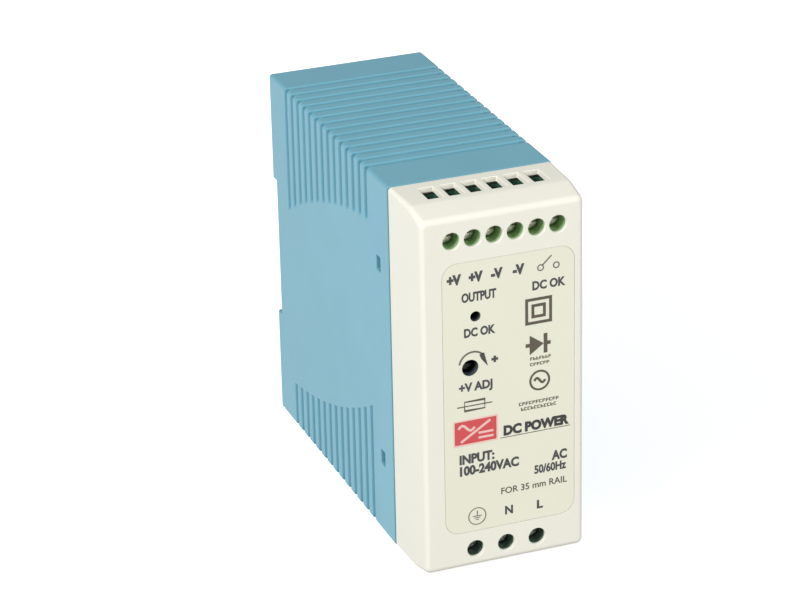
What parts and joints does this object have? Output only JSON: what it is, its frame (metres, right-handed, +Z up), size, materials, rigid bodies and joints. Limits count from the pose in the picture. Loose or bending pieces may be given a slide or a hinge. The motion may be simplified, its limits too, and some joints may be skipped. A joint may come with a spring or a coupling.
{
  "type": "din rail power supply",
  "caption": "Narrow power supply in a plastic case that clips onto a 35 mm top-hat rail, with screw terminals at the top and bottom of its front, a status lamp and a voltage trimmer.",
  "frame": {"origin": "middle of the flat bottom of the case", "axes": "+Y from the front face towards the rail, +Z up, +X to the right as seen from the front"},
  "size_m": [0.04, 0.1, 0.09],
  "materials": {
    "housing_blue": "fine moulded texture",
    "cover_ivory": "fine moulded texture",
    "label_film": "printed polyester film",
    "terminal_green": "moulded",
    "plated_steel": "nickel plated",
    "spring_steel": "drawn wire",
    "tinned_copper": "tin plated strip",
    "board_green": "solder mask",
    "black_plastic": "moulded",
    "white_plastic": "moulded",
    "blue_plastic": "moulded",
    "yellow_plastic": "moulded",
    "lamp_green": "tinted lens",
    "capacitor_sleeve": "shrink sleeve",
    "ceramic_blue": "dipped coating",
    "ferrite": "ground ferrite",
    "copper_winding": "enamelled wire",
    "winding_tape": "polyester tape",
    "heatsink_aluminium": "mill finish",
    "fuse_ceramic": "glazed tube",
    "insulation_film": "film"
  },
  "bodies": {
    "case": {"board_header": "black_plastic", "bridge_rectifier": "black_plastic", "bulk_capacitor": "capacitor_sleeve", "common_mode_choke": "copper_winding", "dc_ok_relay": "blue_plastic", "front_board": "board_green", "front_cover": "cover_ivory", "front_label": "label_film", "fuse": "fuse_ceramic", "housing": "housing_blue", "input_contact_1": "tinned_copper", "input_contact_2": "tinned_copper", "input_contact_3": "tinned_copper", "input_terminal_block": "terminal_green", "inrush_thermistor": "black_plastic", "insulation_sheet": "insulation_film", "latch_spring": "spring_steel", "main_board": "board_green", "optocoupler": "white_plastic", "output_capacitor_1": "capacitor_sleeve", "output_capacitor_2": "capacitor_sleeve", "output_choke": "copper_winding", "output_contact_1": "tinned_copper", "output_contact_2": "tinned_copper", "output_contact_3": "tinned_copper", "output_contact_4": "tinned_copper", "output_contact_5": "tinned_copper", "output_contact_6": "tinned_copper", "output_heatsink": "heatsink_aluminium", "output_rectifier": "black_plastic", "output_terminal_block": "terminal_green", "primary_heatsink": "heatsink_aluminium", "pwm_controller": "black_plastic", "status_lamp": "lamp_green", "switching_transistor": "black_plastic", "transformer_core": "ferrite", "transformer_winding": "winding_tape", "trimmer_body": "blue_plastic", "x_capacitor": "yellow_plastic", "y_capacitor": "ceramic_blue"},
    "latch": {"rail_latch": "housing_blue"},
    "trimmer": {"trimmer_rotor": "black_plastic"},
    "output_screw_1": {"output_screw_1": "plated_steel"},
    "output_clamp_1": {"output_clamp_1": "plated_steel"},
    "output_screw_2": {"output_screw_2": "plated_steel"},
    "output_clamp_2": {"output_clamp_2": "plated_steel"},
    "output_screw_3": {"output_screw_3": "plated_steel"},
    "output_clamp_3": {"output_clamp_3": "plated_steel"},
    "output_screw_4": {"output_screw_4": "plated_steel"},
    "output_clamp_4": {"output_clamp_4": "plated_steel"},
    "output_screw_5": {"output_screw_5": "plated_steel"},
    "output_clamp_5": {"output_clamp_5": "plated_steel"},
    "output_screw_6": {"output_screw_6": "plated_steel"},
    "output_clamp_6": {"output_clamp_6": "plated_steel"},
    "input_screw_1": {"input_screw_1": "plated_steel"},
    "input_clamp_1": {"input_clamp_1": "plated_steel"},
    "input_screw_2": {"input_screw_2": "plated_steel"},
    "input_clamp_2": {"input_clamp_2": "plated_steel"},
    "input_screw_3": {"input_screw_3": "plated_steel"},
    "input_clamp_3": {"input_clamp_3": "plated_steel"}
  },
  "joints": [
    {"name": "latch_slide", "type": "slide", "parent": "case", "child": "latch", "axis": [0, 0, -1], "range_m": [0, 0.004], "stiffness_N_per_m": 1500, "springref_m": -0.005, "deforming": ["latch_spring"]},
    {"name": "trimmer_turn", "type": "hinge", "parent": "case", "child": "trimmer", "pos_m": [-0.0081, -0.047, 0.05165], "axis": [0, 1, 0], "range_deg": [-135, 135]},
    {"name": "output_screw_1_turn", "type": "hinge", "parent": "case", "child": "output_screw_1", "pos_m": [-0.01217, -0.0462, 0.08287], "axis": [0, 1, 0], "range_deg": [0, 1805]},
    {"name": "output_clamp_1_rise", "type": "slide", "parent": "case", "child": "output_clamp_1", "axis": [0, -1, 0], "range_m": [0, 0.0025]},
    {"name": "output_screw_2_turn", "type": "hinge", "parent": "case", "child": "output_screw_2", "pos_m": [-0.00709, -0.0462, 0.08287], "axis": [0, 1, 0], "range_deg": [0, 1805]},
    {"name": "output_clamp_2_rise", "type": "slide", "parent": "case", "child": "output_clamp_2", "axis": [0, -1, 0], "range_m": [0, 0.0025]},
    {"name": "output_screw_3_turn", "type": "hinge", "parent": "case", "child": "output_screw_3", "pos_m": [-0.00201, -0.0462, 0.08287], "axis": [0, 1, 0], "range_deg": [0, 1805]},
    {"name": "output_clamp_3_rise", "type": "slide", "parent": "case", "child": "output_clamp_3", "axis": [0, -1, 0], "range_m": [0, 0.0025]},
    {"name": "output_screw_4_turn", "type": "hinge", "parent": "case", "child": "output_screw_4", "pos_m": [0.00307, -0.0462, 0.08287], "axis": [0, 1, 0], "range_deg": [0, 1805]},
    {"name": "output_clamp_4_rise", "type": "slide", "parent": "case", "child": "output_clamp_4", "axis": [0, -1, 0], "range_m": [0, 0.0025]},
    {"name": "output_screw_5_turn", "type": "hinge", "parent": "case", "child": "output_screw_5", "pos_m": [0.00815, -0.0462, 0.08287], "axis": [0, 1, 0], "range_deg": [0, 1805]},
    {"name": "output_clamp_5_rise", "type": "slide", "parent": "case", "child": "output_clamp_5", "axis": [0, -1, 0], "range_m": [0, 0.0025]},
    {"name": "output_screw_6_turn", "type": "hinge", "parent": "case", "child": "output_screw_6", "pos_m": [0.01323, -0.0462, 0.08287], "axis": [0, 1, 0], "range_deg": [0, 1805]},
    {"name": "output_clamp_6_rise", "type": "slide", "parent": "case", "child": "output_clamp_6", "axis": [0, -1, 0], "range_m": [0, 0.0025]},
    {"name": "input_screw_1_turn", "type": "hinge", "parent": "case", "child": "input_screw_1", "pos_m": [-0.00729, -0.0462, 0.00585], "axis": [0, 1, 0], "range_deg": [0, 1805]},
    {"name": "input_clamp_1_rise", "type": "slide", "parent": "case", "child": "input_clamp_1", "axis": [0, -1, 0], "range_m": [0, 0.0025]},
    {"name": "input_screw_2_turn", "type": "hinge", "parent": "case", "child": "input_screw_2", "pos_m": [0.00033, -0.0462, 0.00585], "axis": [0, 1, 0], "range_deg": [0, 1805]},
    {"name": "input_clamp_2_rise", "type": "slide", "parent": "case", "child": "input_clamp_2", "axis": [0, -1, 0], "range_m": [0, 0.0025]},
    {"name": "input_screw_3_turn", "type": "hinge", "parent": "case", "child": "input_screw_3", "pos_m": [0.00795, -0.0462, 0.00585], "axis": [0, 1, 0], "range_deg": [0, 1805]},
    {"name": "input_clamp_3_rise", "type": "slide", "parent": "case", "child": "input_clamp_3", "axis": [0, -1, 0], "range_m": [0, 0.0025]}
  ],
  "couplings": [
    {"joint": "output_screw_1_turn", "follows": "output_clamp_1_rise", "rad_per_m": 12566},
    {"joint": "output_screw_2_turn", "follows": "output_clamp_2_rise", "rad_per_m": 12566},
    {"joint": "output_screw_3_turn", "follows": "output_clamp_3_rise", "rad_per_m": 12566},
    {"joint": "output_screw_4_turn", "follows": "output_clamp_4_rise", "rad_per_m": 12566},
    {"joint": "output_screw_5_turn", "follows": "output_clamp_5_rise", "rad_per_m": 12566},
    {"joint": "output_screw_6_turn", "follows": "output_clamp_6_rise", "rad_per_m": 12566},
    {"joint": "input_screw_1_turn", "follows": "input_clamp_1_rise", "rad_per_m": 12566},
    {"joint": "input_screw_2_turn", "follows": "input_clamp_2_rise", "rad_per_m": 12566},
    {"joint": "input_screw_3_turn", "follows": "input_clamp_3_rise", "rad_per_m": 12566}
  ]
}
